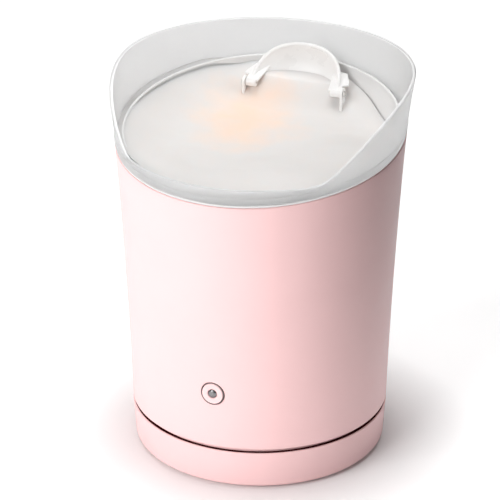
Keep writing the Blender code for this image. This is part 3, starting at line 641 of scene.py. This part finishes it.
def wax_filling():
    """Half-set wax heaped in the tank and up against the wall on the left and at the rear."""
    rings, sides = 110, 240
    draw = np.random.default_rng(7)
    puffs = []
    for _ in range(WAX_PUFFS):
        a, r = draw.uniform(0, 2 * math.pi), BODY_R * math.sqrt(draw.uniform(0, 1))
        puffs.append((r * math.cos(a), r * math.sin(a), draw.uniform(0.013, 0.024),
                      draw.uniform(0.0012, 0.0034)))

    def climb_share(angle):
        """How far the wax climbs the wall: 1 is the rib's top on the left, 0 is not at all."""
        turn = (math.degrees(angle) + 180) % 360 - 180
        near = min(1.0, max(0.0, (turn + 178) / 45)) * min(1.0, max(0.0, (75 - turn) / 60))
        return near * near * (3 - 2 * near)

    def wall_reach(angle):
        full = outer_r(seam_z(angle) + 0.0080) - 0.0030
        tucked = outer_r(0.200) - 0.0064
        return tucked + (full - tucked) * min(1.0, climb_share(angle) * 1.5)

    def surface(angle, share):
        """Height of the wax at an angle and at a share of the way to the wall."""
        x, y, _ = around(angle, wall_reach(angle) * share, 0.0)
        level = WAX_LEVEL + 0.0045 * max(0.0, y / BODY_R)
        behind = min(1.0, max(0.0, (y - 0.050) / 0.030))
        level += (0.0165 * behind * behind * (3 - 2 * behind)
                  * max(0.0, 1.0 - (x / 0.075) ** 2))
        puff = sum(lift * math.exp(-((x - px) ** 2 + (y - py) ** 2) / (size * size))
                   for px, py, size, lift in puffs)
        drift = 0.0022 * noise.noise(Vector((x * 22, y * 22, 3.1)))
        drift += 0.0007 * noise.noise(Vector((x * 60, y * 60, 8.2)))
        crest = seam_z(angle) + 0.0088 + 0.0007 * noise.noise(Vector((math.cos(angle) * 3,
                                                                      math.sin(angle) * 3, 2.0)))
        rise = max(0.0, (share - 0.55) / 0.45) ** 2.0
        flat = level + puff * 0.75 + drift
        if y > 0.060:
            flat = min(flat, WAX_CEILING)
        clings = 0.0035 * max(0.0, (share - 0.88) / 0.12) ** 2 * (1 - climb_share(angle))
        return flat + clings + max(0.0, crest - flat) * rise * climb_share(angle)
    mesh = bmesh.new()
    centre = mesh.verts.new((0, 0, surface(0.0, 0.0)))
    angles = [2 * math.pi * k / sides for k in range(sides)]
    loops = []
    for i in range(1, rings + 1):
        share = i / rings
        loops.append([mesh.verts.new(around(a, wall_reach(a) * share, surface(a, share)))
                      for a in angles])

    def under_edge(angle):
        """Spot below the wax's edge, where its side turns down into the tank."""
        edge = surface(angle, 1.0)
        low = min(edge - 0.003, seam_z(angle) + 0.0074)
        if climb_share(angle) <= 0:
            low = edge - 0.002
        return around(angle, outer_r(edge - 0.003) - 0.0064, low)
    tuck = [[under_edge(a) for a in angles]]
    for r, z in ((outer_r(0.195) - 0.0064, 0.1950),
                 (outer_r(TANK_FLANGE_Z) - 0.0064, TANK_FLANGE_Z), (TANK_R, TANK_FLANGE_Z),
                 (TANK_R, 0.150), (TANK_R, TANK_FLOOR_Z + 0.006), (0.0720, TANK_FLOOR_Z)):
        tuck.append([around(a, r, z) for a in angles])
    loops += [[mesh.verts.new(spot) for spot in row] for row in tuck]
    last = mesh.verts.new((0, 0, TANK_FLOOR_Z))
    for k in range(sides):
        mesh.faces.new((centre, loops[0][k], loops[0][(k + 1) % sides]))
        mesh.faces.new((last, loops[-1][(k + 1) % sides], loops[-1][k]))
    for low, high in zip(loops, loops[1:]):
        for k in range(sides):
            j = (k + 1) % sides
            mesh.faces.new((low[k], high[k], high[j], low[j]))
    finish_mesh(mesh, "wax_filling", "root", wax_look(), 60)


outer_casing()
base_housing()
tank_surround()
splash_collar()
power_button()
grip_hood()
wax_filling()

# CAD nodes that stay, by finish

LOOKS = {
    "pink_plastic": PINK, "white_plastic": WHITE, "frosted_plastic": FROSTED,
    "button_plastic": BUTTON_SKIN, "dark_ring": GAP_SHADE_RING, "black_plastic": BLACK,
    "blue_plastic": BLUE, "green_plastic": GREEN, "circuit_board": BOARD, "rubber": RUBBER,
    "silicone": SILICONE, "steel": STEEL, "stainless": STAINLESS, "aluminium": ALUMINIUM,
    "brass": BRASS, "mica": MICA, "felt": FELT, "lead_insulation": LEAD,
}
for name, node in NODES.items():
    for holder in node.material_slots:
        slot_name = holder.material.name.split(".")[0]
        holder.material = LOOKS[slot_name]
for name in ("left_upright", "right_upright"):
    for holder in NODES[name].material_slots:
        holder.material = HOOD_FROST
for name in ("left_upright", "right_upright", "power_inlet", "relay", "power_supply",
             "lead_terminals", "tact_switch"):
    edge = NODES[name].modifiers.new("edge", "BEVEL")
    edge.width = 0.0003
    edge.segments = 2
    edge.limit_method = "ANGLE"
    edge.angle_limit = math.radians(40)


# Stage, light and camera

def floor():
    mesh = bmesh.new()
    bmesh.ops.create_grid(mesh, x_segments=8, y_segments=8, size=6.0)
    data = bpy.data.meshes.new("studio_floor")
    mesh.to_mesh(data)
    mesh.free()
    look, tree, shader = new_look("studio_paper")
    mottle = noise_of(tree, 3.0)
    colour = ramp(tree, mottle, (0.93, 0.93, 0.93), (0.94, 0.94, 0.94))
    tree.links.new(colour, shader.inputs["Base Color"])
    shader.inputs["Roughness"].default_value = 0.6
    # The floor glows, faint within 85 mm of the axis and much brighter beyond 145 mm: painted light
    # that lifts the drum's cast shadow off the floor.
    space = tree.nodes.new("ShaderNodeTexCoord")
    length = tree.nodes.new("ShaderNodeVectorMath")
    length.operation = "LENGTH"
    tree.links.new(space.outputs["Object"], length.inputs[0])
    glow = ramp(tree, length.outputs["Value"], (0.03, 0.03, 0.03), (0.46, 0.46, 0.46), 0.085, 0.145)
    tree.links.new(glow, shader.inputs["Emission Color"])
    shader.inputs["Emission Strength"].default_value = 1.0
    plane = show("studio_floor", data, None, look, 0)


def backdrop():
    """White paper drum around the studio, which is seen but lights nothing."""
    mesh = bmesh.new()
    bmesh.ops.create_uvsphere(mesh, u_segments=64, v_segments=32, radius=9.0)
    data = bpy.data.meshes.new("studio_backdrop")
    mesh.to_mesh(data)
    mesh.free()
    look, tree, shader = new_look("backdrop_paper")
    mottle = noise_of(tree, 0.5)
    colour = ramp(tree, mottle, (0.97, 0.97, 0.97), (1.0, 1.0, 1.0))
    tree.links.new(colour, shader.inputs["Emission Color"])
    shader.inputs["Base Color"].default_value = (0.0, 0.0, 0.0, 1.0)
    shader.inputs["Emission Strength"].default_value = 1.0
    dome = show("studio_backdrop", data, None, look, 0)
    dome.visible_diffuse = False
    dome.visible_glossy = False
    dome.visible_shadow = False


def aim(item, spot, target):
    item.location = spot
    item.rotation_euler = (Vector(target) - Vector(spot)).to_track_quat("-Z", "Y").to_euler()


RIGHT = Vector((math.cos(CAMERA_AZIMUTH), math.sin(CAMERA_AZIMUTH), 0.0))
AHEAD = Vector((-math.sin(CAMERA_AZIMUTH), math.cos(CAMERA_AZIMUTH), 0.0))
UP = Vector((0.0, 0.0, 1.0))


def softbox(name, right, ahead, up, size, power, pieces=None, lit=True):
    """Square area light placed relative to the camera's direction, aimed at the drum.

    It lights everything, only the given pieces, or with lit=False everything but them.
    """
    data = bpy.data.lights.new(name, "AREA")
    data.shape = "SQUARE"
    data.size = size
    data.energy = power
    light = bpy.data.objects.new(name, data)
    bpy.context.scene.collection.objects.link(light)
    aim(light, right * RIGHT + ahead * AHEAD + up * UP, (0, 0, 0.13))
    if pieces:
        group = bpy.data.collections.new(name + "_pieces")
        for piece in pieces:
            group.objects.link(piece)
        for item in group.collection_objects:
            item.light_linking.link_state = "INCLUDE" if lit else "EXCLUDE"
        light.light_linking.receiver_collection = group


def flag():
    """Black card at the right, out of sight, which keeps the floor's glow off that flank."""
    mesh = bmesh.new()
    bmesh.ops.create_grid(mesh, x_segments=12, y_segments=12, size=0.5)
    for spot in mesh.verts:
        bend = spot.co.x * 2.0
        spot.co = (FLAG_R * math.cos(bend - 0.15), FLAG_R * math.sin(bend - 0.15),
                   0.02 + 0.5 * (spot.co.y + 0.5))
    matrix = Matrix.Rotation(CAMERA_AZIMUTH, 4, "Z")
    bmesh.ops.transform(mesh, matrix=matrix, verts=mesh.verts)
    data = bpy.data.meshes.new("studio_flag")
    mesh.to_mesh(data)
    mesh.free()
    card = show("studio_flag", data, None, BLACK, 0)
    card.visible_camera = False
    card.visible_shadow = False
    card.visible_transmission = False
    card.visible_glossy = False


def studio():
    scene = bpy.context.scene
    world = bpy.data.worlds.new("studio")
    world.use_nodes = True
    world.node_tree.nodes["Background"].inputs["Color"].default_value = (1.0, 1.0, 1.0, 1.0)
    world.node_tree.nodes["Background"].inputs["Strength"].default_value = 0.085
    scene.world = world
    bowl = [bpy.data.objects[name] for name in
            ("tank_surround_moulding", "frosted_collar", "frosted_hood", "wax_filling")]
    bowl += [NODES["left_upright"], NODES["right_upright"]]
    softbox("key_left", -1.40, -1.34, 1.0, 1.3, 22)
    softbox("key_left_body", -1.40, -1.34, 1.0, 1.3, 20, bowl, False)
    softbox("bowl_fill", 1.30, -0.50, 1.1, 1.0, 12, bowl)
    softbox("overhead", 0.0, 0.3, 3.2, 2.0, 56)
    flag()
    scene.view_settings.view_transform = "Standard"


def camera():
    data = bpy.data.cameras.new("camera")
    data.lens = CAMERA_LENS
    data.sensor_width = 36.0
    data.clip_start = 0.05
    data.clip_end = 40.0
    eye = bpy.data.objects.new("camera", data)
    bpy.context.scene.collection.objects.link(eye)
    out = -AHEAD * math.cos(CAMERA_ELEVATION) + UP * math.sin(CAMERA_ELEVATION)
    above = RIGHT.cross(-out)
    target = CAMERA_TARGET - AIM_LEFT * RIGHT + AIM_UP * above
    aim(eye, target + CAMERA_DISTANCE * out, target)
    bpy.context.scene.camera = eye


floor()
backdrop()
studio()
camera()
